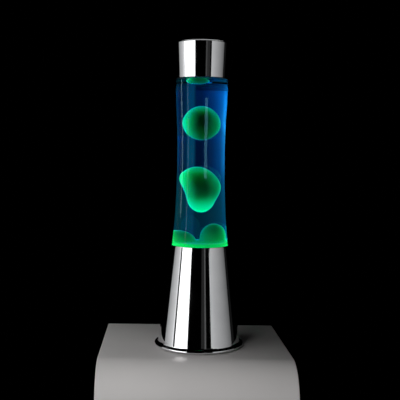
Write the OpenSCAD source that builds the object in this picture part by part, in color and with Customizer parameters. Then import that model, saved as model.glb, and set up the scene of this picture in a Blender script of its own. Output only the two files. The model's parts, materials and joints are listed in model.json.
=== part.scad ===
// Lava lamp: a spun metal base with a reflector bulb inside, a waisted glass bottle of
// coloured liquid and wax that stands in the base's mouth, and a metal cap over its neck.
// Millimetres, +Z up, origin on the table at the middle of the base. The cord leaves at +Y.

/* [Base] */
// Height of the base's rim above the table
base_h = 133; // [128:0.5:136]
// Outer radius of the base at its rim
rim_r = 38.5; // [38.4:0.1:39]
// Radius that the cone would have at the table
cone_foot_r = 54.3; // [52:0.1:55]
// Outer radius of the rolled flange
flange_r = 58.5; // [57.5:0.1:60]
// Sheet thickness of the base shell
shell_t = 0.8; // [0.6:0.1:1]
// Radius of the flange's rolled bead
bead_r = 2; // [1.6:0.1:2.2]
// How far the rubber feet lift the flange off the table
lift = 1; // [0.5:0.1:1.5]

/* [Bottle] */
// Height of the bottle's foot above the table
bottle_z = 118.5; // [117.5:0.1:119.5]
// Radius of the glass where it leaves the base
heel_r = 36.4; // [36:0.1:36.7]
// Radius of the waist
waist_r = 31; // [30:0.1:33]
// Height of the waist
waist_z = 250; // [240:1:260]
// Radius under the shoulder
shoulder_r = 34.1; // [34:0.1:34.3]
// Height at which the shoulder starts to turn in
shoulder_z = 346; // [345.8:0.1:346.2]
// Outer radius of the neck
neck_r = 12.4; // [12:0.1:12.8]
// Height of the bottle's mouth
mouth_z = 386; // [384:0.5:387]
// Wall of the glass
glass_t = 2.6; // [2.2:0.1:2.8]

/* [Cap] */
// Height of the whole lamp
lamp_h = 395; // [394:0.5:400]
// Outer radius of the cap at its mouth
cap_mouth_r = 33.4; // [33.3:0.1:33.6]
// Outer radius of the cap at its top
cap_top_r = 35.3; // [34.5:0.1:36]
// Sheet thickness of the cap
cap_t = 0.9; // [0.7:0.1:1]
// Radius of the cap's top edge
cap_edge_r = 2.5; // [2:0.1:3]

/* [Bulb] */
// Radius of the reflector bulb
bulb_r = 19.5; // [18.5:0.1:20]
// Height of the bulb's contact above the table
bulb_z = 29; // [28.6:0.1:29.4]
// Length of the bulb from contact to face
bulb_l = 66; // [64:0.5:68]
// Radius of the bulb's screw shell
screw_r = 6.9; // [6.8:0.05:6.95]

/* [Wax] */
// Half width of the upper blob
upper_r = 18.6; // [17:0.1:20]
// Half height of the upper blob
upper_h = 21.8; // [20:0.1:22]
// Half width of the middle blob
middle_r = 19.8; // [17:0.1:20]
// Half height of the middle blob
middle_h = 31; // [29:0.1:31.5]
// Level of the wax pool
pool_z = 136.5; // [134:0.5:138]

/* [Hidden] */
$fn = 96;
eps = 0.01;

chrome = [0.86, 0.87, 0.88];
black_plastic = [0.06, 0.06, 0.065];
steel = [0.7, 0.71, 0.72];
brass = [0.78, 0.62, 0.3];
phenolic = [0.12, 0.12, 0.12];
wax_green = [0.02, 0.72, 0.3];
liquid_blue = [0.02, 0.12, 0.6, 0.5];
clear_glass = [0.85, 0.92, 0.95, 0.35];

// Base: the cone's slope, and the places along it
cone_slope = (cone_foot_r - rim_r) / base_h;
cone_angle = atan(cone_slope);
cone_len = sqrt(1 + cone_slope * cone_slope);
flange_fillet = 2.7;
flange_top = lift + 2 * bead_r;
fillet_z = flange_top + flange_fillet;
fillet_x = cone_foot_r - cone_slope * fillet_z + flange_fillet * cone_len;
hem_h = 6;
function cone_r(z) = cone_foot_r - cone_slope * z;
function inner_r(z) = cone_r(z) - shell_t * cone_len;

// Bottom plate and what stands on it
plate_t = 2;
plate_z = 3;
plate_top = plate_z + plate_t;
plate_r = inner_r(plate_top) - 1.2;
lug_count = 3;
lug_r = 45;
foot_count = 4;
foot_ring_r = 36;
vent_count = 12;

// Seat
seat_gap = 0.05;
seat_t = 1.6;
ledge_top = bottle_z - 3;
ledge_t = 2.4;
seat_top = base_h - hem_h - 1;
seat_hole_r = 21.5;
pad_h = bottle_z - ledge_top - 0.05;

// Socket
bracket_t = 1.2;
bracket_w = 16;
bracket_top = 20;
bracket_foot_x = 21;
socket_r = 13.5;
socket_h = 31;
socket_z = bracket_top;
socket_floor = 4;
socket_split = socket_z + 10;    // where the skirt meets the body
entry_r = 1.7;
entry_z = socket_z + 7;
sleeve_r = screw_r + 0.25;
sleeve_t = 0.4;
thread_pitch = 2.822;
thread_depth = 0.7;
cavity_r = sleeve_r + thread_depth + sleeve_t + 0.1;
nipple_r = 4.9;

// Terminal block, between the socket and the cable bush
block_y = 28;
block_w = 18;
block_d = 10;
block_h = 12;
pole_x = 4.2;
pole_z = plate_top + 5;
tube_hole_r = 1.6;

// Cable bush, square to the cone's wall at the back
bush_z = 20;
bush_bore_r = 3.2;
bush_neck_r = 4.6;
bush_head_r = 6.5;
bush_head_t = 2.4;
bush_tail = 5;
bush_face = shell_t / 2 + 0.15;   // underside of the bush's head, from the middle of the wall

// Bottle
heel_fillet = 9;
shoulder_fillet = 1.6;
inner_fillet = 1.5;               // inside the shoulder's corner, where the glass is thick
shoulder_tilt = 20;
neck_fillet = 5;
finish_r = 13.3;
finish_h = 5;
bore_r = 9;
gap = 0.1;                       // between the glass and what fills it
fill_z = 366;

// Places along the shoulder: the end of its corner, and the start of the neck's fillet
corner = [shoulder_r - shoulder_fillet, shoulder_z];
turn = 90 - shoulder_tilt;
corner_end = corner + shoulder_fillet * [cos(turn), sin(turn)];
neck_start_r = neck_r + neck_fillet - neck_fillet * cos(turn);
neck_start = [neck_start_r, corner_end[1] + (corner_end[0] - neck_start_r) * tan(shoulder_tilt)];
neck_centre = neck_start + neck_fillet * [cos(turn), sin(turn)];

// Wax: where each piece is at rest
upper_at = [0.2, 0, 291.3];
middle_at = [-1.4, 0, 203.5];
top_at = [-4.2, 0, 347.6];
wax_gap = 0.3;                   // between a drifting piece of wax and the liquid round it

// Cap
cap_z = shoulder_z + 2.4;
cap_liner_h = 9;
cap_liner_t = 2.9;
liner_gap = 0.3;                  // between the liner and the shoulder that it rests on

// Coil in the bottle's foot
coil_ring_r = 24;
coil_r = 2.9;
wire_r = 0.6;
coil_turns = 24;
coil_steps = 8;
coil_sides = 5;

// Points of an arc about c from angle a to b, n steps
function arc(c, r, a, b, n = 8) =
    [for (i = [0:n]) c + r * [cos(a + (b - a) * i / n), sin(a + (b - a) * i / n)]];

module ring(outer, inner, z0, z1) {
    difference() {
        translate([0, 0, z0]) cylinder(r = outer, h = z1 - z0);
        translate([0, 0, z0 - 1]) cylinder(r = inner, h = z1 - z0 + 2);
    }
}

module disc(r, z0, z1) {
    translate([0, 0, z0]) cylinder(r = r, h = z1 - z0);
}

module around(count, start = 0) {
    for (i = [0:count - 1]) rotate([0, 0, start + 360 * i / count]) children();
}

// ---- base ----

module base_shell() {
    bead = [flange_r - bead_r, lift + bead_r];
    fillet = [fillet_x, fillet_z];
    cone_turn = 180 + cone_angle;
    outline = concat(
        arc([rim_r - shell_t, base_h - shell_t], shell_t, 180, 0),
        arc(fillet, flange_fillet, cone_turn, 270, 6),
        arc(bead, bead_r, 90, -180, 18),
        arc(bead, bead_r - shell_t, -180, 90, 18),
        arc(fillet, flange_fillet + shell_t, 270, cone_turn, 6),
        [[inner_r(base_h - hem_h), base_h - hem_h],
         [inner_r(base_h - hem_h) - shell_t, base_h - hem_h]]);
    color(chrome) difference() {
        rotate_extrude($fn = 180) polygon(outline);
        bush_place() translate([0, 0, -6]) cylinder(r = bush_neck_r, h = 12);
    }
}

// Moves its children to the hole for the cable bush, with +Z straight out of the wall
module bush_place() {
    translate([0, cone_r(bush_z) - shell_t / 2, bush_z]) rotate([-90 + cone_angle, 0, 0]) children();
}

module lug_places() {
    around(lug_count, 30) translate([lug_r, 0, 0]) children();
}

module fixing_lugs() {
    lug_w = 10;
    lug_t = 1.5;
    lug_back = inner_r(plate_top + 14) - lug_r - lug_t - 0.4;
    color(steel) lug_places() difference() {
        union() {
            translate([-5, -lug_w / 2, plate_top]) cube([lug_back + 5 + lug_t, lug_w, lug_t]);
            translate([lug_back, -lug_w / 2, plate_top]) cube([lug_t, lug_w, 12]);
            disc(3.2, plate_top, plate_top + 4);
        }
        disc(1.5, plate_top - 1, plate_top + 5);
    }
}

module bottom_plate() {
    slot_w = 3;
    slot_from = 16;
    slot_to = 29;
    color(black_plastic) difference() {
        union() {
            disc(plate_r, plate_z, plate_top);
            ring(plate_r, plate_r - 1.6, plate_z - 1.2, plate_z + eps);
        }
        around(vent_count, 15) round_slot(slot_from, slot_to, slot_w);
        lug_places() disc(1.9, plate_z - 1, plate_top + 1);
        around(foot_count, 45) translate([foot_ring_r, 0, 0]) disc(2.2, plate_z - 1, plate_top + 1);
        around(2) translate([bracket_foot_x, 0, 0]) disc(1.6, plate_z - 1, plate_top + 1);
        translate([0, block_y, 0]) disc(1.6, plate_z - 1, plate_top + 1);
    }
}

// A slot with round ends, out along X
module round_slot(from, to, w) {
    translate([from, -w / 2, plate_z - 1]) cube([to - from, w, plate_t + 2]);
    for (x = [from, to]) translate([x, 0, 0]) disc(w / 2, plate_z - 1, plate_top + 1);
}

// A cross-recess screw, head down, its shank up from z
module pan_screw(head_r, head_h, shank_r, shank_l, z) {
    difference() {
        translate([0, 0, z - head_h]) cylinder(r1 = head_r * 0.8, r2 = head_r, h = head_h);
        for (a = [0, 90]) rotate([0, 0, a])
            translate([-head_r * 0.55, -0.4, z - head_h - 1]) cube([head_r * 1.1, 0.8, 1.8]);
    }
    translate([0, 0, z - eps]) cylinder(r = shank_r, h = shank_l + eps);
}

module plate_screws() {
    color(steel) lug_places() pan_screw(3, 1.4, 1.45, 6.5, plate_z);
}

module rubber_feet() {
    outline = concat([[0, 0]], arc([4.4, 0.6], 0.6, -90, 0, 4),
                     [[5, plate_z - gap], [2.1, plate_z - gap], [2.1, plate_top + 0.1]],
                     [[2.9, plate_top + 0.3], [1.4, plate_top + 2.4], [0, plate_top + 2.4]]);
    color(black_plastic) around(foot_count, 45) translate([foot_ring_r, 0, 0])
        rotate_extrude() polygon(outline);
}

module bottle_seat() {
    function wall(z) = inner_r(z) - seat_gap;
    bottom = ledge_top - ledge_t;
    outline = [[seat_hole_r, bottom], [wall(bottom), bottom], [wall(seat_top), seat_top],
               [wall(seat_top) - seat_t, seat_top], [wall(ledge_top) - seat_t, ledge_top],
               [seat_hole_r + 0.8, ledge_top], [seat_hole_r, ledge_top - 0.8]];
    color(black_plastic) rotate_extrude($fn = 180) polygon(outline);
}

module seat_pads() {
    color([0.75, 0.74, 0.7]) around(4, 45) translate([25.6, 0, 0])
        disc(2.8, ledge_top, ledge_top + pad_h);
}

module cable_bush() {
    collar_face = -shell_t / 2 - 0.55;
    neck_l = bush_tail + bush_face;
    color(black_plastic) bush_place() difference() {
        union() {
            translate([0, 0, bush_face])
                cylinder(r1 = bush_head_r, r2 = bush_head_r - 0.9, h = bush_head_t);
            translate([0, 0, -bush_tail]) cylinder(r = bush_neck_r - 0.05, h = neck_l + eps);
            translate([0, 0, -bush_tail])
                cylinder(r = bush_head_r - 1, h = bush_tail + collar_face);
        }
        translate([0, 0, -bush_tail - 1])
            cylinder(r = bush_bore_r, h = neck_l + bush_head_t + 2);
    }
}

// ---- lamp holder ----

module socket_bracket() {
    foot_end = bracket_foot_x + 4;
    leg_x = 16;
    leg_inner = leg_x - bracket_t;
    under = bracket_top - bracket_t;
    foot_top = plate_top + bracket_t;
    outline = [[-foot_end, plate_top], [-leg_inner, plate_top], [-leg_inner, under], [leg_inner, under],
               [leg_inner, plate_top], [foot_end, plate_top], [foot_end, foot_top], [leg_x, foot_top],
               [leg_x, bracket_top], [-leg_x, bracket_top], [-leg_x, foot_top], [-foot_end, foot_top]];
    color(steel) difference() {
        translate([0, bracket_w / 2, 0]) rotate([90, 0, 0]) linear_extrude(bracket_w) polygon(outline);
        disc(nipple_r + 0.1, under - 1, bracket_top + 1);
        around(2) translate([bracket_foot_x, 0, 0]) disc(1.6, plate_top - 1, foot_top + 1);
    }
}

module bracket_rivets() {
    head_r = 2.8;
    head_h = 1;
    top = plate_top + bracket_t;
    color(steel) around(2) translate([bracket_foot_x, 0, 0]) {
        disc(head_r, plate_z - head_h, plate_z);
        disc(1.55, plate_z - eps, top + eps);
        disc(head_r, top, top + head_h);
    }
}

module socket_nipple() {
    color(steel) ring(nipple_r, nipple_r - 1, bracket_top - 4.6, socket_z + socket_floor - 0.05);
}

module socket_nut() {
    nut_h = 2.8;
    top = bracket_top - bracket_t;
    color(steel) difference() {
        translate([0, 0, top - nut_h]) cylinder(r = 8, h = nut_h, $fn = 6);
        disc(nipple_r + 0.02, top - nut_h - 1, top + 1);
    }
}

// Radius of an Edison thread at height z, with r at its crests
function thread(r, z) = r - thread_depth * (1 - cos(360 * z / thread_pitch)) / 2;

module socket_body() {
    outline = [[nipple_r + 0.05, socket_z], [socket_r - 1, socket_z], [socket_r, socket_z + 1],
               [socket_r, socket_split], [cavity_r, socket_split],
               [cavity_r, socket_z + socket_floor], [nipple_r + 0.05, socket_z + socket_floor]];
    color(phenolic) difference() {
        rotate_extrude() polygon(outline);
        // lead entries, one for each pole
        for (x = [-pole_x, pole_x]) translate([x, 4, entry_z]) rotate([-90, 0, 0])
            cylinder(r = entry_r, h = 14);
    }
}

module socket_skirt() {
    z0 = socket_split + 0.05;
    top = socket_z + socket_h;
    waist = socket_r - 1.8;
    outline = [[cavity_r, z0], [socket_r - 0.4, z0], [socket_r - 0.4, z0 + 3.4], [waist, z0 + 4.8],
               [waist, top - 1], [waist - 1, top], [cavity_r, top]];
    color(phenolic) rotate_extrude() polygon(outline);
}

module socket_sleeve() {
    z0 = socket_z + 12;
    steps = 36;
    step_h = (socket_h - 14) / steps;
    r = sleeve_r + thread_depth;
    color(brass) rotate_extrude() polygon(concat(
        [for (i = [0:steps]) let (z = z0 + i * step_h) [thread(r, z), z]],
        [for (i = [steps:-1:0]) let (z = z0 + i * step_h) [thread(r, z) + sleeve_t, z]]));
}

// A leaf under the bulb's tip: a foot on the holder's floor, a rising tongue and a flat end
module socket_contact() {
    leaf_w = 4;
    leaf_t = 0.5;
    floor_z = socket_z + socket_floor;
    top = bulb_z - 0.05;
    color(brass) translate([0, leaf_w / 2, 0]) rotate([90, 0, 0]) linear_extrude(leaf_w)
        polygon([[-7, floor_z], [-5.2, floor_z], [-2.6, top - leaf_t], [3, top - leaf_t],
                 [3, top], [-2.9, top], [-5.6, floor_z + leaf_t], [-7, floor_z + leaf_t]]);
}

// ---- wiring ----

module terminal_block() {
    color([0.9, 0.89, 0.85]) difference() {
        translate([-block_w / 2, block_y - block_d / 2, plate_top]) cube([block_w, block_d, block_h]);
        for (x = [-pole_x, pole_x]) {
            translate([x, block_y - block_d, pole_z]) rotate([-90, 0, 0])
                cylinder(r = 2.45, h = 2 * block_d);
            for (y = [-2.4, 2.4]) translate([x, block_y + y, 0])
                disc(1.6, pole_z, plate_top + block_h + 1);
        }
        translate([0, block_y, 0]) disc(1.6, plate_top - 1, plate_top + block_h + 1);
    }
}

module terminal_tubes() {
    color(brass) for (x = [-pole_x, pole_x]) difference() {
        translate([x, block_y - block_d / 2 + 0.5, pole_z]) rotate([-90, 0, 0])
            cylinder(r = 2.4, h = block_d - 1);
        translate([x, block_y - block_d, pole_z]) rotate([-90, 0, 0])
            cylinder(r = tube_hole_r, h = 2 * block_d);
        for (y = [-2.4, 2.4]) translate([x, block_y + y, 0]) disc(1.25, pole_z, pole_z + 3);
    }
}

module terminal_screws() {
    color(steel) for (x = [-pole_x, pole_x], y = [-2.4, 2.4]) translate([x, block_y + y, 0])
        difference() {
            disc(1.2, pole_z + 1.2, plate_top + block_h - 1.2);
            translate([-2, -0.25, plate_top + block_h - 2]) cube([4, 0.5, 2]);
        }
}

module terminal_bolt() {
    color(steel) translate([0, block_y, 0]) {
        pan_screw(2.6, 1.2, 1.5, plate_t + 8, plate_z);
    }
}

// A tube along a list of points that lie in one plane: a ring of corners at each of them,
// square to the route there. normal is at right angles to the plane.
function unit(v) = v / norm(v);
function heading(p, i) = unit(p[min(i + 1, len(p) - 1)] - p[max(i - 1, 0)]);
module swept_tube(p, r, sides, normal) {
    last = len(p) - 1;
    corners = [for (i = [0:last], k = [0:sides - 1]) let (a = 360 * k / sides)
        p[i] + r * (cos(a) * normal + sin(a) * cross(normal, heading(p, i)))];
    walls = [for (i = [0:last - 1], k = [0:sides - 1]) let (a = i * sides, n = (k + 1) % sides)
        [a + k, a + n, a + sides + n, a + sides + k]];
    ends = [[for (k = [1:sides]) sides - k], [for (k = [0:sides - 1]) last * sides + k]];
    polyhedron(corners, concat(walls, ends), convexity = 6);
}

// A quadratic curve through three guide points
function bend(a, b, c, n) =
    [for (i = [0:n]) let (t = i / n) (1 - t) * (1 - t) * a + 2 * t * (1 - t) * b + t * t * c];

lead_r = 1.1;
function lead_route(x) =
    let (from = [x, block_y - 3, pole_z], rise_y = 16.6, to = [x, 10, entry_z],
         middle = [x, rise_y, (from[2] + to[2]) / 2])
    concat(bend(from, [x, rise_y, from[2]], middle, 6),
           [for (i = [1:6]) bend(middle, [x, rise_y, to[2]], to, 6)[i]]);

module live_lead() {
    color([0.35, 0.16, 0.07]) swept_tube(lead_route(-pole_x), lead_r, 8, [1, 0, 0]);
}

module neutral_lead() {
    color([0.1, 0.2, 0.6]) swept_tube(lead_route(pole_x), lead_r, 8, [1, 0, 0]);
}

// ---- bulb ----

shell_z0 = bulb_z + 3.6;
shell_z1 = bulb_z + 22;
bulb_neck_r = screw_r - thread_depth - 0.45;
bulb_neck_z = shell_z1 - 2;
flare_z0 = bulb_z + 25;
flare_z1 = bulb_z + bulb_l - 12;
bulb_t = 0.7;
function flare(t) = bulb_neck_r + 2 + (bulb_r - bulb_neck_r - 2) * (1 - cos(180 * t)) / 2;
function bulb_outline(d) = concat(
    [[bulb_neck_r - d, bulb_neck_z], [bulb_neck_r + 0.2 - d, shell_z1 + 0.4]],
    [for (i = [0:10]) [flare(i / 10) - d, flare_z0 + (flare_z1 - flare_z0) * i / 10]],
    [for (a = [10:10:80]) [(bulb_r - d) * cos(a), flare_z1 + (bulb_z + bulb_l - flare_z1 - d) * sin(a)]],
    [[0, bulb_z + bulb_l - d]]);

module bulb_contact_tip() {
    color(brass) translate([0, 0, bulb_z]) cylinder(r1 = 1.6, r2 = 2.6, h = 1.2);
}

module bulb_insulator() {
    color([0.05, 0.05, 0.06]) translate([0, 0, bulb_z + 1.25])
        cylinder(r1 = 3, r2 = screw_r - 1.2, h = shell_z0 - bulb_z - 1.3);
}

module bulb_screw_shell() {
    wall = 0.35;
    steps = 32;
    z0 = shell_z0 + 1.2;
    step_h = (shell_z1 - 1.2 - z0) / steps;
    color(brass) rotate_extrude() polygon(concat(
        [[0, shell_z0], [screw_r - 2, shell_z0]],
        [for (i = [0:steps]) let (z = z0 + i * step_h) [thread(screw_r, z), z]],
        [[screw_r + 0.15, shell_z1], [screw_r - 0.2, shell_z1]],
        [for (i = [steps:-1:0]) let (z = z0 + i * step_h) [thread(screw_r, z) - wall, z]],
        [[screw_r - 2.2, shell_z0 + wall], [0, shell_z0 + wall]]));
}

module bulb_glass() {
    under = bulb_neck_z - 1;
    color([0.9, 0.9, 0.88, 0.5]) rotate_extrude() difference() {
        polygon(concat(bulb_outline(0), [[0, bulb_neck_z]]));
        polygon(concat([[bulb_neck_r - bulb_t, under]], bulb_outline(bulb_t), [[0, under]]));
    }
}

module bulb_stem() {
    color(clear_glass) {
        disc(2.2, bulb_neck_z + 0.2, bulb_z + 33);
        translate([0, 0, bulb_neck_z + 0.2]) cylinder(r1 = bulb_neck_r - bulb_t - 0.1, r2 = 2.2, h = 5);
    }
}

// Two supports up from the stem, and the filament between them
module bulb_filament() {
    stem_top = bulb_z + 33;
    coil_z = bulb_z + 43;
    color(steel) {
        for (s = [-1, 1]) {
            support = [[1.2 * s, 0, stem_top], [1.6 * s, 0, stem_top + 2],
                       [6 * s, 0, coil_z - 1], [6.2 * s, 0, coil_z + 0.6]];
            swept_tube(support, 0.3, 8, [0, 1, 0]);
        }
        translate([-6.3, 0, coil_z]) rotate([0, 90, 0]) cylinder(r = 0.5, h = 12.6);
    }
}

// ---- bottle ----

// The glass's radius below and above the waist
side_top = shoulder_z - 2;
function side_low(z) = waist_r + (heel_r - waist_r) * pow((waist_z - z) / (waist_z - base_h), 2);
function side_high(z) =
    waist_r + (shoulder_r - waist_r) * (1 - cos(180 * (z - waist_z) / (side_top - waist_z))) / 2;

// The shoulder's corner, d inside the outer face
function shoulder_corner(d) =
    let (r = max(shoulder_fillet - d, inner_fillet), shift = shoulder_fillet - d - r)
    arc(corner + shift * [1, tan(turn / 2)], r, 0, turn, 8);

// The bottle's outline from the middle of its foot to the mouth, d inside the outer face.
// punt is how far the middle of the foot is raised.
function bottle_side(d, punt) = concat(
    [[0, bottle_z + punt + d], [19, bottle_z + punt * 0.8 + d], [24, bottle_z + d]],
    arc([heel_r - heel_fillet, bottle_z + heel_fillet], heel_fillet - d, -90, 0, 10),
    [for (i = [0:13]) let (z = base_h + (waist_z - base_h) * i / 13) [side_low(z) - d, z]],
    [for (i = [1:12]) let (z = waist_z + (side_top - waist_z) * i / 12) [side_high(z) - d, z]],
    shoulder_corner(d),
    arc(neck_centre, neck_fillet + d, 180 + turn, 180, 8));

module bottle() {
    finish_z = mouth_z - finish_h;
    outline = concat(
        bottle_side(0, 1.2),
        [[neck_r, finish_z - 7], [finish_r + 0.4, finish_z - 6], [finish_r + 0.4, finish_z - 3],
         [neck_r + 0.2, finish_z - 2], [neck_r + 0.2, finish_z], [finish_r, finish_z + 1]],
        arc([finish_r - 1.2, mouth_z - 1.2], 1.2, 0, 90, 4),
        arc([bore_r + 0.8, mouth_z - 0.8], 0.8, 90, 180, 4),
        [[bore_r, neck_centre[1] + 8]],
        [for (i = [len(bottle_side(glass_t, 1.2)) - 1:-1:0]) bottle_side(glass_t, 1.2)[i]]);
    color(clear_glass) rotate_extrude($fn = 180) polygon(outline);
}

// Everything inside the glass, up to z
module inside(z) {
    filled = bottle_side(glass_t + gap, 1.2);
    intersection() {
        rotate_extrude($fn = 180) polygon(concat(filled, [[bore_r - gap, neck_centre[1] + 8],
                                                         [bore_r - gap, mouth_z], [0, mouth_z]]));
        disc(60, bottle_z - 1, z);
    }
}

// An egg: half width r, half height h, wider above the middle by share, grown by d
module egg(r, h, share, d) {
    steps = 18;
    outline = [for (i = [0:steps]) let (a = -90 + 180 * i / steps)
        [max((r + d) * cos(a) * (1 + share * sin(a)), 0), (h + d) * sin(a)]];
    rotate_extrude() polygon(outline);
}

module upper_egg(d) {
    translate(upper_at) egg(upper_r, upper_h, -0.04, d);
}

module middle_egg(d) {
    translate(middle_at) egg(middle_r, middle_h, 0.14, d);
}

module top_egg(d) {
    translate(top_at) egg(11.6, 5.6, 0, d);
}

// The wax that lies in the foot: a flat pool, a lobe that is about to part and a low mound
module pool_shape() {
    disc(60, bottle_z - 1, pool_z);
    translate([12, -2, 143]) egg(12.2, 17.6, 0.05, 0);
    translate([-20, 6, 137.3]) egg(17, 13.4, 0, 0);
}

module wax_pool() {
    color(wax_green) intersection() {
        inside(fill_z);
        pool_shape();
    }
}

module liquid() {
    color(liquid_blue) difference() {
        inside(fill_z);
        pool_shape();
        upper_egg(wax_gap);
        middle_egg(wax_gap);
        top_egg(wax_gap);
    }
}

module wax_upper() {
    color(wax_green) upper_egg(0);
}

module wax_middle() {
    color(wax_green) middle_egg(0);
}

module wax_top() {
    color(wax_green) top_egg(0);
}

// A coil spring bent into a ring, lying on the glass
module heat_coil() {
    count = coil_turns * coil_steps;
    coil_z = bottle_z + glass_t + gap + coil_r + wire_r + 1.2;
    function centre(i) =
        let (a = 360 * i / count, b = 360 * i / coil_steps, q = coil_ring_r + coil_r * cos(b))
        [q * cos(a), q * sin(a), coil_z + coil_r * sin(b)];
    corners = [for (i = [0:count - 1]) let (
            h = unit(centre(i + 1) - centre(i - 1)), a = 360 * i / count,
            b = 360 * i / coil_steps, out = [cos(b) * cos(a), cos(b) * sin(a), sin(b)],
            s = unit(out - (out * h) * h), u = cross(h, s))
        for (k = [0:coil_sides - 1])
            centre(i) + wire_r * (cos(360 * k / coil_sides) * s + sin(360 * k / coil_sides) * u)];
    walls = [for (i = [0:count - 1], k = [0:coil_sides - 1])
        let (n = (k + 1) % coil_sides, j = (i + 1) % count)
        [i * coil_sides + n, i * coil_sides + k, j * coil_sides + k, j * coil_sides + n]];
    color(steel) polyhedron(corners, walls, convexity = 12);
}

module crown_cork() {
    flutes = 21;
    sheet = 0.4;
    liner_t = 0.7;
    top = mouth_z + liner_t + sheet;
    skirt_h = 6;
    function fluted(d) = [for (i = [0:flutes * 6 - 1]) let (a = 360 * i / (flutes * 6))
        (15 - d + 0.55 * cos(flutes * a)) * [cos(a), sin(a)]];
    corner_at = [12.6, top - 1.8];
    color([0.8, 0.68, 0.35]) {
        rotate_extrude() polygon(concat(
            [[0, top], [12.6, top]], arc(corner_at, 1.8, 75, 0, 4), [[14.6, top - 2.4]],
            [[13.7, top - 2.4]], arc(corner_at, 1.8 - sheet, 0, 75, 4),
            [[12.6, top - sheet], [0, top - sheet]]));
        translate([0, 0, top - skirt_h]) linear_extrude(skirt_h - 2) difference() {
            polygon(fluted(0));
            polygon(fluted(sheet + 0.1));
        }
    }
}

module crown_liner() {
    color([0.85, 0.85, 0.82]) disc(12.7, mouth_z + 0.02, mouth_z + 0.68);
}

// ---- cap ----

module cap_shell() {
    lean = (cap_top_r - cap_mouth_r) / (lamp_h - cap_edge_r - cap_z);
    edge = [cap_top_r - cap_edge_r, lamp_h - cap_edge_r];
    outline = concat(
        [[cap_mouth_r - cap_t, cap_z + 0.3], [cap_mouth_r - cap_t + 0.3, cap_z],
         [cap_mouth_r - 0.3, cap_z], [cap_mouth_r + 0.3 * lean, cap_z + 0.3]],
        arc(edge, cap_edge_r, 0, 90, 8),
        [[0, lamp_h], [0, lamp_h - cap_t]],
        arc(edge, cap_edge_r - cap_t, 90, 0, 8));
    color(chrome) rotate_extrude($fn = 180) polygon(outline);
}

module cap_liner() {
    lean = (cap_top_r - cap_mouth_r) / (lamp_h - cap_edge_r - cap_z);
    outer = cap_mouth_r - cap_t - 0.05;
    inner = outer - cap_liner_t;
    function rest_z(r) = corner_end[1] + (corner_end[0] - r) * tan(shoulder_tilt) + liner_gap;
    outline = [[outer, rest_z(outer)], [outer, cap_z + 0.4],
               [outer + cap_liner_h * lean, cap_z + cap_liner_h],
               [inner, cap_z + cap_liner_h], [inner, rest_z(inner)]];
    color(black_plastic) rotate_extrude($fn = 180) polygon(outline);
}

base_shell();
fixing_lugs();
bottom_plate();
plate_screws();
rubber_feet();
bottle_seat();
seat_pads();
cable_bush();
socket_bracket();
bracket_rivets();
socket_nipple();
socket_nut();
socket_body();
socket_skirt();
socket_sleeve();
socket_contact();
terminal_block();
terminal_tubes();
terminal_screws();
terminal_bolt();
live_lead();
neutral_lead();
bulb_contact_tip();
bulb_insulator();
bulb_screw_shell();
bulb_glass();
bulb_stem();
bulb_filament();
bottle();
liquid();
wax_pool();
heat_coil();
crown_cork();
crown_liner();
wax_upper();
wax_middle();
wax_top();
cap_shell();
cap_liner();
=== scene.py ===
"""Looks of the lava lamp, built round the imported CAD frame. Metres, +Z up, the front is -Y."""
import json
import math

import bmesh
import bpy
from mathutils import Euler, Matrix, Vector, noise


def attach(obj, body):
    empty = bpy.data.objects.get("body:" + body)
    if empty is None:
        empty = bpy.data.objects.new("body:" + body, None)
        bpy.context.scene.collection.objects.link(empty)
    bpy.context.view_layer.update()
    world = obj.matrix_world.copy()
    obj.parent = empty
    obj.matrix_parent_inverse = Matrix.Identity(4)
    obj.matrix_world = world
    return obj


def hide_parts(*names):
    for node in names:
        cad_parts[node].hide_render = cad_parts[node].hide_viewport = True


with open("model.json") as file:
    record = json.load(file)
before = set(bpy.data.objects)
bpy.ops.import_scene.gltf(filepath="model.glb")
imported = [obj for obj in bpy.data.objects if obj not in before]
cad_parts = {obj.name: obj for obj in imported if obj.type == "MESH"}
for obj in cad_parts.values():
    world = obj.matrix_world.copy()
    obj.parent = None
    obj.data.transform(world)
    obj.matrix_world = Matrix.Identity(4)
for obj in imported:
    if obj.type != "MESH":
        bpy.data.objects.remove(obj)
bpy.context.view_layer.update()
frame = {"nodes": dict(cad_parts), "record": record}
nodes = frame["nodes"]
scene = bpy.context.scene
MM = 0.001
ON_AXIS = 1e-7                         # a point this near the lamp's axis is on it, in metres
WELD = 1e-5                            # points closer than this become one, in metres


# ---- camera, set to the photograph's viewing angle ----

def make_camera():
    data = bpy.data.cameras.new("camera")
    data.lens = 70.56
    data.sensor_width = 36
    data.shift_x = -0.0012
    data.clip_start, data.clip_end = 0.05, 20
    camera = bpy.data.objects.new("camera", data)
    scene.collection.objects.link(camera)
    pitch, roll = math.radians(3.73), math.radians(0.76)
    camera.location = (0, -1.0234, 0.2579)
    level = Euler((math.radians(90) - pitch, 0, 0)).to_matrix()
    camera.rotation_euler = (level @ Matrix.Rotation(roll, 3, "Z")).to_euler()
    scene.camera = camera


# ---- mesh helpers ----

def add_object(name, verts, faces):
    mesh = bpy.data.meshes.new(name)
    mesh.from_pydata(verts, [], faces)
    mesh.validate()
    mesh.polygons.foreach_set("use_smooth", [True] * len(mesh.polygons))
    mesh.update()
    piece = bpy.data.objects.new(name, mesh)
    scene.collection.objects.link(piece)
    return piece


def arc(centre, radius, start, end, steps):
    """Points of an arc, degrees from +r towards +z."""
    angles = [math.radians(start + (end - start) * i / steps) for i in range(steps + 1)]
    return [(centre[0] + radius * math.cos(a), centre[1] + radius * math.sin(a)) for a in angles]


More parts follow.
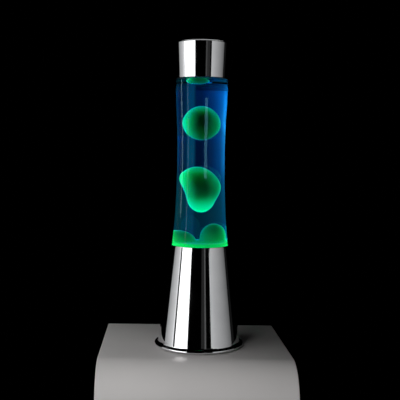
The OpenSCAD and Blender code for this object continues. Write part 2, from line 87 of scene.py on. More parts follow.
def lathe(name, outline, segments):
    """A surface of revolution of (r, z) points. A point on the axis becomes one vertex."""
    verts, rings = [], []
    for r, z in outline:
        if r < ON_AXIS:
            rings.append([len(verts)] * segments)
            verts.append((0, 0, z))
            continue
        rings.append(list(range(len(verts), len(verts) + segments)))
        verts += [(r * math.cos(t), r * math.sin(t), z)
                  for t in (2 * math.pi * k / segments for k in range(segments))]
    faces = []
    for low, high in zip(rings, rings[1:]):
        for k in range(segments):
            n = (k + 1) % segments
            corners = [low[k], low[n], high[n], high[k]]
            faces.append(list(dict.fromkeys(corners)))      # a triangle where a ring is one point
    return add_object(name, verts, faces)


# ---- node helpers, for the materials and the world ----

def maths(tree, operation, a, b):
    """A Math node of a and b, each a number or another node's output."""
    node = tree.nodes.new("ShaderNodeMath")
    node.operation = operation
    for socket, value in zip(node.inputs, (a, b)):
        if isinstance(value, (int, float)):
            socket.default_value = value
        else:
            tree.links.new(value, socket)
    return node.outputs["Value"]


def ramp_of(tree, source, stops):
    """A colour ramp over 0 to 1: stops of (position, (r, g, b)), in order."""
    node = tree.nodes.new("ShaderNodeValToRGB")
    elements = node.color_ramp.elements
    elements[0].position, elements[1].position = stops[0][0], stops[-1][0]
    for position, _ in stops[1:-1]:
        elements.new(position)
    for element, (_, colour) in zip(elements, stops):
        element.color = (*colour, 1)
    tree.links.new(source, node.inputs["Fac"])
    return node.outputs["Color"]


# ---- materials ----

class Shader:
    """A material with its Principled node, and short ways to add nodes to it."""

    def __init__(self, name, **values):
        self.material = bpy.data.materials.new(name)
        self.material.use_nodes = True
        self.tree = self.material.node_tree
        self.surface = self.tree.nodes["Principled BSDF"]
        for key, value in values.items():
            self.surface.inputs[key.replace("_", " ")].default_value = value
        self.place = self.add("ShaderNodeTexCoord").outputs["Object"]

    def add(self, kind):
        return self.tree.nodes.new(kind)

    def link(self, source, target):
        self.tree.links.new(source, target)

    def scaled(self, factors):
        """The place in the object, stretched or squeezed along its axes."""
        node = self.add("ShaderNodeMapping")
        node.inputs["Scale"].default_value = factors
        self.link(self.place, node.inputs["Vector"])
        return node.outputs["Vector"]

    def noise_at(self, place, scale, detail, distortion=0.0):
        node = self.add("ShaderNodeTexNoise")
        for key, value in (("Scale", scale), ("Detail", detail), ("Distortion", distortion)):
            node.inputs[key].default_value = value
        self.link(place, node.inputs["Vector"])
        return node.outputs["Fac"]

    def noise(self, scale, detail, stretch=(1, 1, 1), distortion=0.0):
        return self.noise_at(self.scaled(stretch), scale, detail, distortion)

    def spread(self, source, low, high, start=0.3, end=0.7):
        """source from start..end spread over low..high."""
        node = self.add("ShaderNodeMapRange")
        for key, value in (("From Min", start), ("From Max", end), ("To Min", low), ("To Max", high)):
            node.inputs[key].default_value = value
        self.link(source, node.inputs["Value"])
        return node.outputs["Result"]

    def colours(self, source, *stops):
        """A colour ramp: stops of (position, (r, g, b)), in order."""
        return ramp_of(self.tree, source, stops)

    def maths(self, operation, a, b):
        return maths(self.tree, operation, a, b)

    def axes(self):
        """The place in the object as its x, y and z."""
        split = self.add("ShaderNodeSeparateXYZ")
        self.link(self.place, split.inputs["Vector"])
        return [split.outputs[key] for key in "XYZ"]

    def rings(self):
        """Distance from the lamp's axis plus height, which runs along every turned surface."""
        x, y, z = self.axes()
        squares = [self.maths("MULTIPLY", part, part) for part in (x, y)]
        radius = self.maths("SQRT", self.maths("ADD", *squares), 0)
        return self.maths("ADD", radius, z)

    def turned(self, scale):
        """Noise that changes along a turned surface and hardly round it, as a spinning tool leaves."""
        along = self.add("ShaderNodeCombineXYZ")
        self.link(self.rings(), along.inputs["X"])
        return self.noise_at(along.outputs["Vector"], scale, 2)

    def bump(self, height, strength, distance):
        node = self.add("ShaderNodeBump")
        node.inputs["Strength"].default_value = strength
        node.inputs["Distance"].default_value = distance
        self.link(height, node.inputs["Height"])
        earlier = self.surface.inputs["Normal"].links
        if earlier:
            self.link(earlier[0].from_socket, node.inputs["Normal"])
        self.link(node.outputs["Normal"], self.surface.inputs["Normal"])

    def set(self, key, source):
        self.link(source, self.surface.inputs[key])


def chrome():
    s = Shader("chrome", Metallic=1.0)
    s.set("Base Color", s.colours(s.noise(35, 4), (0.3, (0.78, 0.79, 0.81)), (0.7, (0.85, 0.86, 0.875))))
    smudges = s.spread(s.noise(28, 5, distortion=0.6), 0.025, 0.07)
    s.set("Roughness", s.maths("ADD", smudges, s.spread(s.turned(900), 0.0, 0.02)))
    s.bump(s.turned(160), 0.008, 0.00005)
    return s.material


def steel():
    s = Shader("zinc_steel", Metallic=1.0)
    s.set("Base Color", s.colours(s.noise(300, 4), (0.3, (0.5, 0.51, 0.53)), (0.7, (0.66, 0.66, 0.65))))
    s.set("Roughness", s.spread(s.noise(500, 3), 0.28, 0.45))
    s.bump(s.noise(900, 2), 0.1, 0.0001)
    return s.material


def plastic(name, dark, light, rough_low, rough_high, grain=1500, depth=0.00006):
    s = Shader(name)
    s.set("Base Color", s.colours(s.noise(60, 5), (0.3, dark), (0.7, light)))
    s.set("Roughness", s.spread(s.noise(250, 3), rough_low, rough_high))
    s.bump(s.noise(grain, 2), 0.35, depth)
    return s.material


def metal(name, dark, light, rough_low, rough_high):
    s = Shader(name, Metallic=1.0)
    s.set("Base Color", s.colours(s.noise(220, 4), (0.3, dark), (0.7, light)))
    s.set("Roughness", s.spread(s.noise(400, 4), rough_low, rough_high))
    s.bump(s.noise(1200, 2), 0.1, 0.00005)
    return s.material


def felt():
    s = Shader("felt", Sheen_Weight=0.5)
    s.set("Base Color", s.colours(s.noise(900, 6), (0.3, (0.5, 0.48, 0.44)), (0.7, (0.78, 0.76, 0.71))))
    s.set("Roughness", s.spread(s.noise(700, 3), 0.85, 1.0))
    s.bump(s.noise(2500, 6), 0.7, 0.0003)
    return s.material


def bottle_glass(name, index):
    """Clear glass, faintly uneven up its height. index is its index against what it touches."""
    s = Shader(name, Transmission_Weight=1.0, IOR=index, Base_Color=(0.99, 1.0, 1.0, 1))
    s.set("Roughness", s.spread(s.noise(18, 4), 0.0, 0.01))
    s.bump(s.noise(12, 1, stretch=(1, 1, 0.12)), 0.004, 0.0003)
    return s.material


def bulb_glass():
    s = Shader("bulb_glass", Transmission_Weight=0.6, IOR=1.5)
    s.set("Base Color", s.colours(s.noise(40, 3), (0.3, (0.86, 0.86, 0.83)), (0.7, (0.95, 0.95, 0.93))))
    s.set("Roughness", s.spread(s.noise(60, 4), 0.12, 0.2))
    return s.material


def clear_to_lamps(s):
    """Lets lamps shine straight through the surface, so that what is inside is lit."""
    mix = s.add("ShaderNodeMixShader")
    s.link(s.add("ShaderNodeLightPath").outputs["Is Shadow Ray"], mix.inputs["Fac"])
    s.link(s.surface.outputs["BSDF"], mix.inputs[1])
    s.link(s.add("ShaderNodeBsdfTransparent").outputs["BSDF"], mix.inputs[2])
    s.link(mix.outputs["Shader"], s.tree.nodes["Material Output"].inputs["Surface"])


def liquid_blue():
    """A clear surface, with the dye as absorption in the volume."""
    s = Shader("liquid_blue", Transmission_Weight=1.0, IOR=1.0, Base_Color=(1, 1, 1, 1), Roughness=0.0)
    volume = s.add("ShaderNodeVolumeAbsorption")
    volume.inputs["Color"].default_value = (0.0, 0.75, 0.983, 1)
    volume.inputs["Density"].default_value = 120
    s.link(volume.outputs["Volume"], s.tree.nodes["Material Output"].inputs["Volume"])
    clear_to_lamps(s)
    return s.material


# Light painted into the wax's emission up its height at rest, as (height in mm, green, blue): painted
# light from the bulb at the foot, then painted light at the foot and the top of each blob, where light
# gathers in thin wax
PAINTED_WAX_LIGHT = (
    (132, 0.52, 0.1), (140.8, 0.18, 0.035), (154, 0.05, 0.012), (167.2, 0.01, 0.003), (174, 0.02, 0.006),
    (178, 0.46, 0.13), (183, 0.74, 0.2), (187, 0.66, 0.16), (191, 0.36, 0.08), (195, 0.14, 0.02),
    (199, 0.025, 0.003), (206, 0.012, 0.002), (214, 0.03, 0.003), (218, 0.05, 0.004), (222, 0.08, 0.006),
    (226, 0.18, 0.014), (230, 0.46, 0.08), (236, 0.5, 0.1), (262, 0.1, 0.015), (272, 0.09, 0.012),
    (281, 0.05, 0.006), (289, 0.004, 0.001), (297, 0.006, 0.001), (301, 0.025, 0.002),
    (304.6, 0.11, 0.008), (308.2, 0.34, 0.08), (313, 0.5, 0.16), (330, 0.02, 0.005), (341, 0.09, 0.02),
)


def wax_green():
    """Soft wax, a little see-through. Its emission is painted light by height: the bulb's light from
    below, and light gathered in thin wax.
    """
    s = Shader("wax_green", Roughness=0.4, IOR=1.07, Subsurface_Weight=1.0, Subsurface_Scale=0.003,
               Subsurface_Radius=(0.3, 1.0, 0.5), Emission_Strength=1.0, Sheen_Weight=1.0,
               Sheen_Roughness=0.25, Sheen_Tint=(0.4, 1.0, 0.4, 1))
    s.set("Base Color", s.colours(s.noise(70, 4), (0.3, (0.01, 0.8, 0.13)), (0.7, (0.02, 0.9, 0.17))))
    s.bump(s.noise(60, 3), 0.08, 0.001)
    low, high = PAINTED_WAX_LIGHT[0][0], PAINTED_WAX_LIGHT[-1][0]
    height = s.spread(s.axes()[2], 0, 1, low * MM, high * MM)
    stops = [((z - low) / (high - low), (0.0, green, blue)) for z, green, blue in PAINTED_WAX_LIGHT]
    # painted light: the emission colour by height stands in for the bulb's light and the glow at the
    # blobs' feet and tops
    s.set("Emission Color", s.colours(height, *stops))
    return s.material


MATERIALS = {
    "chrome": chrome(),
    "steel": steel(),
    "black_plastic": plastic("black_plastic", (0.012, 0.012, 0.013), (0.03, 0.03, 0.032), 0.42, 0.6),
    "rubber": plastic("rubber", (0.02, 0.02, 0.02), (0.045, 0.045, 0.046), 0.7, 0.9, 900, 0.0001),
    "felt": felt(),
    "phenolic": plastic("phenolic", (0.02, 0.016, 0.014), (0.05, 0.042, 0.036), 0.25, 0.4),
    "brass": metal("brass", (0.6, 0.42, 0.16), (0.82, 0.62, 0.28), 0.22, 0.4),
    "nickel": metal("nickel", (0.55, 0.53, 0.5), (0.76, 0.74, 0.7), 0.2, 0.35),
    "solder": metal("solder", (0.4, 0.4, 0.4), (0.62, 0.62, 0.63), 0.35, 0.5),
    "black_glass": plastic("black_glass", (0.01, 0.01, 0.012), (0.03, 0.03, 0.034), 0.08, 0.2),
    "block_plastic": plastic("block_plastic", (0.7, 0.69, 0.63), (0.86, 0.85, 0.8), 0.3, 0.45),
    "brown_pvc": plastic("brown_pvc", (0.12, 0.045, 0.02), (0.2, 0.08, 0.035), 0.35, 0.5),
    "blue_pvc": plastic("blue_pvc", (0.02, 0.07, 0.3), (0.04, 0.12, 0.45), 0.35, 0.5),
    "bulb_glass": bulb_glass(),
    "tungsten": metal("tungsten", (0.3, 0.3, 0.3), (0.5, 0.5, 0.5), 0.35, 0.5),
    "bottle_glass": bottle_glass("bottle_glass", 1.5),
    "wet_glass": bottle_glass("wet_glass", 1.128),       # the glass where it touches the liquid
    "liquid": liquid_blue(),
    "wax": wax_green(),
    "crown_gold": metal("crown_gold", (0.55, 0.4, 0.14), (0.78, 0.6, 0.26), 0.22, 0.38),
    "liner_rubber": plastic("liner_rubber", (0.6, 0.6, 0.56), (0.78, 0.78, 0.74), 0.6, 0.8),
}


def paint(piece, slot):
    piece.data.materials.clear()
    piece.data.materials.append(MATERIALS[slot])


def stand_for(piece, node, body, slot):
    """piece takes the place of a CAD node, on its body and with its finish."""
    paint(piece, slot)
    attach(piece, body)
    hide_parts(node)


for row in frame["record"]["subparts"]:
    paint(nodes[row["node"]], row["material_slot"])


# ---- bottle: its outline in millimetres, as r at each height ----

FOOT_Z, RIM_Z, FILL_Z, MOUTH_Z = 118.5, 133.0, 366.0, 386.0
HEEL_R, HEEL_FILLET, WAIST_R, WAIST_Z = 36.4, 9.0, 31.0, 250.0
SHOULDER_R, SHOULDER_Z, SHOULDER_FILLET, SHOULDER_TILT = 33.9, 346.0, 1.6, 20.0
SIDE_TOP = SHOULDER_Z - 2              # where the side is at its widest and turns into the shoulder
LATE_RISE = 1.3                        # above 1, the side widens later over the waist
INNER_FILLET = 14
NECK_R, NECK_FILLET, FINISH_R, BORE_R, GLASS = 12.4, 5.0, 13.3, 9.0, 2.6
NECK_FROM = SHOULDER_Z + 12            # above this, the inside is no narrower than the bore
PUNT = 1.2                             # how far the middle of the foot is pushed up
PUNT_DOME = ((0, 1), (10, 0.95), (19, 0.7), (24, 0))      # the share of that at each radius
SHOULDER_GLASS, THIN_FROM, THIN_TO = 1.4, 295.0, 333.0
TURNS = 256                            # how many facets the bottle and the liquid have around them


def eased(t, start, end):
    """0 before start, 1 after end, smooth between them."""
    share = min(max((t - start) / (end - start), 0), 1)
    return share * share * (3 - 2 * share)


def side(z):
    """Radius of the bottle's outer face between the heel and the shoulder."""
    if z <= WAIST_Z:
        return WAIST_R + (HEEL_R - WAIST_R) * ((WAIST_Z - z) / (WAIST_Z - RIM_Z)) ** 2
    turn = math.pi * (z - WAIST_Z) / (SIDE_TOP - WAIST_Z)
    return WAIST_R + (SHOULDER_R - WAIST_R) * ((1 - math.cos(turn)) / 2) ** LATE_RISE


def thinned(inset, z):
    """The inset at a height, as the glass is thinner at the shoulder than in the wall."""
    return inset * (1 + (SHOULDER_GLASS / GLASS - 1) * eased(z, THIN_FROM, THIN_TO))


def spaced(start, end, steps):
    return [start + (end - start) * i / steps for i in range(steps + 1)]


def metres(points):
    return [(r * MM, z * MM) for r, z in points]


def bottle_side(inset):
    """The outline from the middle of the foot to the neck, inset from the outer face."""
    turn = 90 - SHOULDER_TILT
    corner = (SHOULDER_R - SHOULDER_FILLET, SHOULDER_Z)
    end = arc(corner, SHOULDER_FILLET, 0, turn, 1)[-1]
    neck_start = NECK_R + NECK_FILLET * (1 - math.cos(math.radians(turn)))
    neck_z = end[1] + (end[0] - neck_start) * math.tan(math.radians(SHOULDER_TILT))
    neck_centre = (NECK_R + NECK_FILLET, neck_z + NECK_FILLET * math.sin(math.radians(turn)))
    points = [(r, FOOT_Z + inset + PUNT * share) for r, share in PUNT_DOME]
    points += arc((HEEL_R - HEEL_FILLET, FOOT_Z + HEEL_FILLET), HEEL_FILLET - inset, -90, 0, 20)
    neck_inset = thinned(inset, SHOULDER_Z)
    rounding = max(SHOULDER_FILLET - neck_inset, INNER_FILLET if inset else 0)
    shift = SHOULDER_FILLET - neck_inset - rounding
    inner_corner = (corner[0] + shift, corner[1] + shift * math.tan(math.radians(turn / 2)))
    top = min(SIDE_TOP, inner_corner[1])
    points += [(side(z) - thinned(inset, z), z) for z in spaced(RIM_Z, top, 120)]
    points += arc(inner_corner, rounding, 0, turn, 24)
    points += arc(neck_centre, NECK_FILLET + neck_inset, 180 + turn, 180, 12)
    return points


def crown_finish():
    """The top of the neck: a ring, a groove, the bead that a crown cork grips, and the lip."""
    groove_z, ring_r, groove_r = MOUTH_Z - 5, FINISH_R + 0.4, NECK_R + 0.2
    bead, lip = 1.2, 0.8               # the roundings outside and inside the mouth
    points = [(NECK_R, groove_z - 7), (FINISH_R, groove_z - 6.4), (ring_r, groove_z - 5.6),
              (ring_r, groove_z - 3.4), (FINISH_R, groove_z - 2.6), (groove_r, groove_z - 2),
              (groove_r, groove_z), (FINISH_R, groove_z + 1)]
    points += arc((FINISH_R - bead, MOUTH_Z - bead), bead, 0, 90, 6)
    points += arc((BORE_R + lip, MOUTH_Z - lip), lip, 90, 180, 6)
    return points + [(BORE_R, groove_z)]


def make_bottle():
    """Blown glass. Its inner wall is wet up to the fill line."""
    outline = bottle_side(0) + crown_finish()
    # the outline starts on the axis, where a point is one vertex, and every other one is a ring
    first_inner = 1 + (len(outline) - 1) * TURNS
    outline += [(max(r, BORE_R) if z > NECK_FROM else r, z) for r, z in bottle_side(GLASS)[::-1]]
    piece = lathe("bottle_blown", metres(outline), TURNS)
    stand_for(piece, "bottle", "bottle", "bottle_glass")
    piece.data.materials.append(MATERIALS["wet_glass"])
    for face in piece.data.polygons:
        inside = face.vertices[0] >= first_inner
        face.material_index = int(inside and face.center.z < FILL_Z * MM)
    return piece


def make_liquid():
    """Fills the bottle up into its neck, a hair inside the glass."""
    hair = 0.05
    bore = BORE_R - hair
    outline = [(r, z) for r, z in bottle_side(GLASS + hair) if z < FILL_Z and (r > bore or z < RIM_Z)]
    outline += [(bore, FILL_Z), (0, FILL_Z)]
    piece = lathe("liquid_body", metres(outline), TURNS)
    stand_for(piece, "liquid", "bottle", "liquid")
    return piece


# ---- wax, in millimetres ----

RIPPLE, RIPPLE_SCALE = 0.35, 1.6       # how far the wax's surface strays, and how finely


def blob(name, half_width, half_height, centre, swelling=None):
    """Wax in the liquid: circles stacked up its height, in millimetres. half_width and the x of
    centre are functions of the height from -1 to 1. swelling is (direction, size, spread)."""
    rings, around = 96, 128
    x, y, z = centre
    own_ripple = Vector((z / 20, 0, 0))
    verts, faces = [], []
    for i in range(rings + 1):
        t = math.sin(math.radians(-90 + 180 * i / rings))
        flat = math.sqrt(max(1 - t * t, 0))
        r = half_width(t) * flat
        for k in range(around):
            a = 2 * math.pi * k / around
            p = Vector((x(t) + r * math.cos(a), y + r * math.sin(a), z + half_height * t))
            out = Vector((math.cos(a) * flat, math.sin(a) * flat, t))
            if swelling:
                direction, size, spread = swelling
                p += out * size * math.exp((out.dot(direction) - 1) / spread)
            p += out * RIPPLE * noise.noise(out * RIPPLE_SCALE + own_ripple)
            verts.append(p * MM)
    for i in range(rings):
        for k in range(around):
            n = (k + 1) % around
            faces.append([i * around + k, i * around + n, (i + 1) * around + n, (i + 1) * around + k])
    piece = add_object(name, verts, faces)
    work = bmesh.new()
    work.from_mesh(piece.data)
    bmesh.ops.remove_doubles(work, verts=work.verts, dist=WELD)
    work.to_mesh(piece.data)
    work.free()
    return piece


def middle_width(t):
    """The middle blob has a blunt foot and a broad top."""
    return 16 + 6 * eased(t, -0.5, 0.7) + 1.5 * eased(-t, 0.5, 1)


def middle_x(t):
    """Its top hangs to the left, and its side bulges to the right under that."""
    return 0.5 + 1.2 * math.exp(-((t + 0.15) / 0.3) ** 2) - 4.2 * eased(t, 0, 0.8)


def make_drifting_wax():
    """The three blobs that float free. A negative swelling is the upper one's dent."""
    dent = (Vector((0.75, -0.3, 0.6)).normalized(), -1.4, 0.12)
    upper = blob("blob_upper", lambda t: 18.7 - 0.3 * t, 21.9, (lambda t: 0.2, 0, 291.3), dent)
    stand_for(upper, "wax_upper", "upper_wax", "wax")
    middle = blob("blob_middle", middle_width, 29.8, (middle_x, 0, 204.9))
    stand_for(middle, "wax_middle", "middle_wax", "wax")
    top = blob("blob_top", lambda t: 11.6, 5.6, (lambda t: -4.2, 0, 347.6))
    stand_for(top, "wax_top", "top_wax", "wax")
    return [upper, middle, top]


def applied(piece, kind, **settings):
    """Adds a modifier and applies it to the mesh."""
    modifier = piece.modifiers.new("shape", kind)
    for key, value in settings.items():
        setattr(modifier, key, value)
    shape = piece.evaluated_get(bpy.context.evaluated_depsgraph_get())
    mesh = bpy.data.meshes.new_from_object(shape)
    piece.modifiers.clear()
    piece.data = mesh


def keep_inside(piece, inset):
    """Moves every point that is outside the bottle's cavity onto its wall."""
    heel_z, reach = FOOT_Z + HEEL_FILLET, HEEL_FILLET - inset
    for v in piece.data.vertices:
        r = math.hypot(v.co.x, v.co.y) / MM
        z = v.co.z / MM
        limit = side(max(z, RIM_Z)) - inset
        if z < heel_z:
            drop = min((heel_z - z) / reach, 1)
            limit = HEEL_R - HEEL_FILLET + reach * math.sqrt(1 - drop * drop)
        if r > limit:
            v.co.x *= limit / r
            v.co.y *= limit / r


def make_pool():
    """The wax in the foot: a flat pool, a mound against the left wall and a lobe about to part.
    They are blended into one: laid together, remeshed and smoothed."""
    level, inset, slack = 136.5, GLASS + 0.1, 0.4      # smoothing takes up the slack
    foot = [(r, z) for r, z in bottle_side(inset) if z < level]
    wall = side(level) - inset
    surface = [(wall, level), (wall * 0.8, level + 0.2), (0, level)]
    pool = lathe("wax_foot", metres(foot + surface), segments=96)
    lumps = [
        blob("mound", lambda t: 17.5, 14.2, (lambda t: -21, 5, 136.2)),
        blob("lobe", lambda t: 13.8 + 0.8 * max(-t, 0), 17.8, (lambda t: 13.6, -2, 142.8)),
        blob("skirt", lambda t: 17.5, 4.6, (lambda t: 12, -2, 136.4)),
    ]
    whole = bmesh.new()
    for part in (pool, *lumps):
        whole.from_mesh(part.data)
    whole.to_mesh(pool.data)
    whole.free()
    for lump in lumps:
        bpy.data.objects.remove(lump)
    keep_inside(pool, inset + slack)
    applied(pool, "REMESH", mode="VOXEL", voxel_size=0.8 * MM)
    applied(pool, "SMOOTH", factor=0.5, iterations=14)
    keep_inside(pool, inset)
    pool.data.polygons.foreach_set("use_smooth", [True] * len(pool.data.polygons))
    stand_for(pool, "wax_pool", "bottle", "wax")
    return pool


bottle, liquid = make_bottle(), make_liquid()
blobs, pool = make_drifting_wax(), make_pool()
wax = [*blobs, pool]


# ---- stage ----

def plinth_paint():
    s = Shader("floor")
    s.set("Base Color", s.colours(s.noise(8, 3), (0.3, (0.57, 0.553, 0.547)), (0.7, (0.61, 0.592, 0.585))))
    s.set("Roughness", s.spread(s.noise(30, 3), 0.42, 0.5))
    return s.material


def make_floor():
    """A pale plinth: flat on top, rolled over at the front. Sizes in millimetres."""
    back, front, roll, depth = 116, -115, 47, 250
    sides = ((-133, -122.7), (107, 121))       # each side's x at the back and at the front
    section = [(back, 0), *arc((front + roll, -roll), roll, 90, 180, 18), (front, -depth), (back, -depth)]
    verts, faces, n = [], [], len(section)
    for y, z in section:
        share = (back - y) / (back - front)
        verts += [Vector((start + (end - start) * share, y, z)) * MM for start, end in sides]
    for i in range(n):
        j = (i + 1) % n
        faces.append([2 * i, 2 * i + 1, 2 * j + 1, 2 * j])
    faces += [[2 * i for i in range(n)], [2 * i + 1 for i in range(n)][::-1]]
    floor = add_object("floor", verts, faces)
    bevel = floor.modifiers.new("edge", "BEVEL")
    bevel.width, bevel.segments = 1.2 * MM, 3
    bevel.limit_method, bevel.angle_limit = "ANGLE", math.radians(40)
    for face in floor.data.polygons:
        face.use_smooth = abs(face.normal.x) < 0.5      # all but the two flat ends
    floor.data.materials.append(plinth_paint())
    return floor


# ---- light helpers ----

def group(name, things):
    """A group of things, for a light to reach or to be blocked by."""
    collection = bpy.data.collections.new(name)
    for thing in things:
        collection.objects.link(thing)
    return collection


def all_but(name, things):
    """A group for lights that reach everything except those things."""
    collection = group(name, things)
    for part in collection.collection_objects:
        part.light_linking.link_state = "EXCLUDE"
    return collection


def facing(direction):
    """The rotation of a lamp that shines in that direction."""
    return Vector(direction).to_track_quat("-Z", "Y").to_euler()


def add_light(name, data, place, rotation):
    """The lamp itself is out of the camera's sight."""
    light = bpy.data.objects.new(name, data)
    scene.collection.objects.link(light)
    light.location = place
    light.rotation_euler = rotation
    light.visible_camera = False
    return light


def softbox(name, azimuths, heights, radiance, distance=1.5, fade=None, colour=(1, 1, 1)):
    """An upright area light that fills that span of azimuths, degrees from -Y towards +X. Its
    power follows from its radiance and size. fade is the light's share at its end with the
    lower azimuth, and at the higher one."""
    start, end = azimuths
    middle, half = math.radians((start + end) / 2), math.radians((end - start) / 2)
    data = bpy.data.lights.new(name, "AREA")
    data.shape = "RECTANGLE"
    data.size = 2 * distance * math.tan(half)
    data.size_y = heights[1] - heights[0]
    data.energy = radiance * math.pi * data.size * data.size_y
    data.color = colour
    if fade is not None:
        data.use_nodes = True
        tree = data.node_tree
        across = tree.nodes.new("ShaderNodeNewGeometry").outputs["Parametric"]
        split = tree.nodes.new("ShaderNodeSeparateXYZ")
        ramp = tree.nodes.new("ShaderNodeMapRange")
        ramp.inputs["To Min"].default_value, ramp.inputs["To Max"].default_value = fade
        tree.links.new(across, split.inputs["Vector"])
        tree.links.new(split.outputs["X"], ramp.inputs["Value"])
        tree.links.new(ramp.outputs["Result"], tree.nodes["Emission"].inputs["Strength"])
    place = (distance * math.sin(middle), -distance * math.cos(middle), sum(heights) / 2)
    return add_light(name, data, place, facing((-math.sin(middle), math.cos(middle), 0)))


def disc_below(name, radius, height, radiance, colour):
    """A round lamp in the liquid that faces up, as the bulb shines through the foot."""
    data = bpy.data.lights.new(name, "AREA")
    data.shape, data.size = "DISK", 2 * radius
    data.energy = radiance * math.pi * math.pi * radius * radius
    data.color = colour
    return add_light(name, data, (0, 0, height), (math.pi, 0, 0))


def lamp_at(name, kind, place, target, power, **settings):
    """A lamp at a place, in metres, aimed at a target. Nothing mirrors it or shows through to it."""
    data = bpy.data.lights.new(name, kind)
    data.energy = power
    for key, value in settings.items():
        setattr(data, key, value)
    light = add_light(name, data, place, facing(Vector(target) - Vector(place)))
    light.visible_glossy = light.visible_transmission = False
    return light


def only_for(light, things, blockers, glossy=False):
    """light reaches only those things, and only the blockers cast its shadow."""
    light.light_linking.receiver_collection = things
    light.light_linking.blocker_collection = blockers
    light.visible_transmission = False
    light.visible_glossy = glossy


make_camera()
floor = make_floor()


# ---- what the lights reach, and what casts their shadows ----

all_wax = group("for_wax", wax)
drifting = group("for_drifting_wax", blobs)
in_pool = group("for_pool", [pool])
wax_shadows = group("wax_shadows", [*wax, liquid])
drifting_shadows = group("drifting_shadows", [*blobs, liquid])
glass = group("for_glass", [bottle, liquid])
on_floor = group("for_floor", [floor])
outside = all_but("not_for_bottle", [bottle, liquid, *wax])
metal_only = all_but("not_for_bottle_or_floor", [bottle, liquid, *wax, floor])


# ---- lights ----

# the metal and the floor: two rows of boxes at the sides and the front. The ones to the right
# leave the floor alone
LOW, HIGH = (-0.6, 0.3), (0.3, 1.05)    # heights of the lower and upper row of boxes
STUDIO = (                              # heights, azimuths, radiance, fade
    (LOW, (-69, -31), 1.9, None), (LOW, (-79, -74.6), 0.9, None), (LOW, (-108.5, -79), 0.68, (0.42, 1)),
    (HIGH, (-82, -30.5), 1.9, None), (HIGH, (-90, -83.2), 0.85, None),
    (HIGH, (-116.5, -90), 0.62, (0.5, 1)),
    (LOW, (34.7, 104.5), 0.54, (1, 0.2)), (HIGH, (39.5, 103.5), 0.54, (1, 0.2)),
    (LOW, (16.5, 20.5), 0.1, None), (LOW, (7, 16.5), 0.02, None), (HIGH, (15, 21), 0.06, None),
    (HIGH, (21, 33), 0.025, None), (LOW, (106, 118), 0.007, None), (HIGH, (106, 118), 0.007, None),
)
for number, (heights, azimuths, radiance, fade) in enumerate(STUDIO):
    box = softbox(f"studio_{number}", azimuths, heights, radiance, fade=fade)
    box.light_linking.receiver_collection = metal_only if azimuths[0] > 0 else outside
    box.visible_transmission = False

# the wax: boxes at its sides and behind it, and the bulb's light from below
for name, azimuths, top_z, radiance, things, blockers in (
        ("wax_left", (-122, -96), 0.7, 20, drifting, wax_shadows),
        ("pool_left", (-98, -62), 0.7, 3.6, in_pool, drifting_shadows),
        ("wax_back", (135, 225), 1.0, 11, all_wax, wax_shadows),
        ("wax_right", (95, 125), 0.7, 4.5, drifting, wax_shadows),
        ("pool_right", (95, 125), 0.7, 2.6, in_pool, wax_shadows)):
    only_for(softbox(name, azimuths, (-0.1, top_z), radiance, distance=1.0), things, blockers)
only_for(disc_below("wax_below", 0.02, 0.139, 48, (0.7, 1.0, 0.3)), drifting, drifting_shadows)

# the glass: three strips that it mirrors
for strip in (softbox("line_left", (-104, -97), (0.16, 0.6), 1.95, colour=(0.52, 0.95, 1.0)),
              softbox("line_front", (-66, -62), (0.0, 0.6), 0.9),
              softbox("streak", (14.5, 28), (0.224, 0.315), 2.1, 0.45, colour=(0.24, 0.78, 1.0))):
    only_for(strip, glass, glass, glossy=True)

# the floor, and the cap's top
key = lamp_at("floor_key", "AREA", (-0.12, -0.36, 0.2), (0, -0.08, -0.01), 0.36, size=0.1)
fill = lamp_at("floor_fill", "AREA", (0.25, -0.5, 0.0), (0.05, -0.1, -0.05), 0.4, size=0.2)
left = lamp_at("floor_left", "AREA", (-0.3, 0.03, 0.15), (-0.05, 0.0, 0), 0.1, size=0.05)
spot = lamp_at("floor_spot", "SPOT", (-0.0225, -0.073, 0.3), (-0.0225, -0.073, 0), 1.5,
               spot_size=math.radians(4.0), spot_blend=1.0, shadow_soft_size=0.002)
for lamp in (key, fill, left, spot):
    lamp.light_linking.receiver_collection = on_floor
top = lamp_at("cap_top", "AREA", (0, 0, 1.9), (0, 0, 0.395), 8, size=2.6)
top.light_linking.receiver_collection = group("for_cap", [nodes["cap_shell"]])
top.visible_glossy = True               # the chrome mirrors this one


# ---- world: walls by direction, in degrees from -Y towards +X, and by the direction's height ----

# seen right of the bottle's middle from the front: brightest towards the edge
RIGHT_WALL = (
    (-180, 0.045), (-168, 0.12), (-162, 0.19), (-153, 0.3), (-147, 0.4), (-138, 0.8), (-130, 1.0),
    (-122, 1.8), (-112, 1.1), (-98, 0.3), (-60, 0.2), (-45, 0.9), (-30, 0.25), (0, 0.06), (30, 0.25),
    (50, 0.9), (70, 0.3), (100, 0.1), (110, 0), (173.5, 0), (174.5, 0.045), (180, 0.045),
)
# the share of that at each height: brightest a little over the level
RIGHT_LEVELS = (
    (-0.4, 0.25), (-0.2, 0.35), (-0.12, 0.35), (-0.07, 0.36), (-0.03, 0.62), (0.0, 0.66), (0.034, 0.74),
    (0.055, 0.85), (0.07, 1.2), (0.085, 1.6), (0.092, 1.4), (0.105, 0.5), (0.16, 0.5), (0.4, 0.3),
)
# seen left of the middle: dark, with a greenish stripe and a paler edge
LEFT_WALL = (
    (-180, (0, 0, 0)), (95, (0, 0, 0)), (108, (0.3, 0.35, 0.3)), (118, (0.3, 0.3, 0.2)),
    (128, (0.1, 0.12, 0.08)), (141, (0.04, 0.04, 0.037)), (158, (0.06, 0.07, 0.045)),
    (161, (0.06, 0.075, 0.047)), (163, (0.2, 0.25, 0.13)), (172, (0.2, 0.25, 0.125)),
    (173.5, (0.05, 0.055, 0.04)), (174.5, (0, 0, 0)), (180, (0, 0, 0)),
)
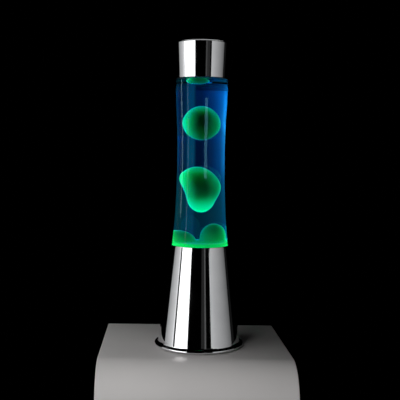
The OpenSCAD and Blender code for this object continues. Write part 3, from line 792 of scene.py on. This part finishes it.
# low down the green wax lights the liquid: its colour, and its share at each height
WAX_LIGHT = (0.1, 0.22, 0.06, 1)
WAX_LEVELS = ((-0.3, 0.4), (-0.16, 0.6), (-0.1, 0.45), (-0.08, 0.3), (-0.045, 0), (0.4, 0))


def make_world():
    """Dark studio walls, seen only through the bottle."""
    world = bpy.data.worlds.new("world")
    world.use_nodes = True
    tree = world.node_tree
    split = tree.nodes.new("ShaderNodeSeparateXYZ")
    tree.links.new(tree.nodes.new("ShaderNodeTexCoord").outputs["Generated"], split.inputs["Vector"])
    x, y, z = (split.outputs[key] for key in "XYZ")
    azimuth = maths(tree, "ARCTAN2", x, maths(tree, "MULTIPLY", y, -1))
    turn = maths(tree, "ADD", maths(tree, "DIVIDE", azimuth, 2 * math.pi), 0.5)
    up = maths(tree, "ADD", z, 0.5)

    def around(stops):
        return ramp_of(tree, turn, [((degrees + 180) / 360, colour) for degrees, colour in stops])

    def upward(stops):
        return ramp_of(tree, up, [(height + 0.5, (share,) * 3) for height, share in stops])

    def joined(operation, a, b):
        node = tree.nodes.new("ShaderNodeVectorMath")
        node.operation = operation
        tree.links.new(a, node.inputs[0])
        tree.links.new(b, node.inputs[1])
        return node.outputs["Vector"]

    right = around([(degrees, (grey,) * 3) for degrees, grey in RIGHT_WALL])
    levels = upward(RIGHT_LEVELS)
    walls = joined("ADD", joined("MULTIPLY", right, levels), around(LEFT_WALL))
    low = tree.nodes.new("ShaderNodeMix")
    low.data_type = "RGBA"
    tree.links.new(upward(WAX_LEVELS), low.inputs["Factor"])
    tree.links.new(walls, low.inputs["A"])
    low.inputs["B"].default_value = WAX_LIGHT
    tree.links.new(low.outputs["Result"], tree.nodes["Background"].inputs["Color"])
    # the walls are seen through the bottle, but they don't light the wax in it
    depth = tree.nodes.new("ShaderNodeLightPath").outputs["Diffuse Depth"]
    tree.links.new(maths(tree, "LESS_THAN", depth, 0.5), tree.nodes["Background"].inputs["Strength"])
    scene.world = world
    seen = world.cycles_visibility
    seen.camera = seen.diffuse = seen.glossy = seen.scatter = False


make_world()
scene.view_settings.view_transform = "Standard"
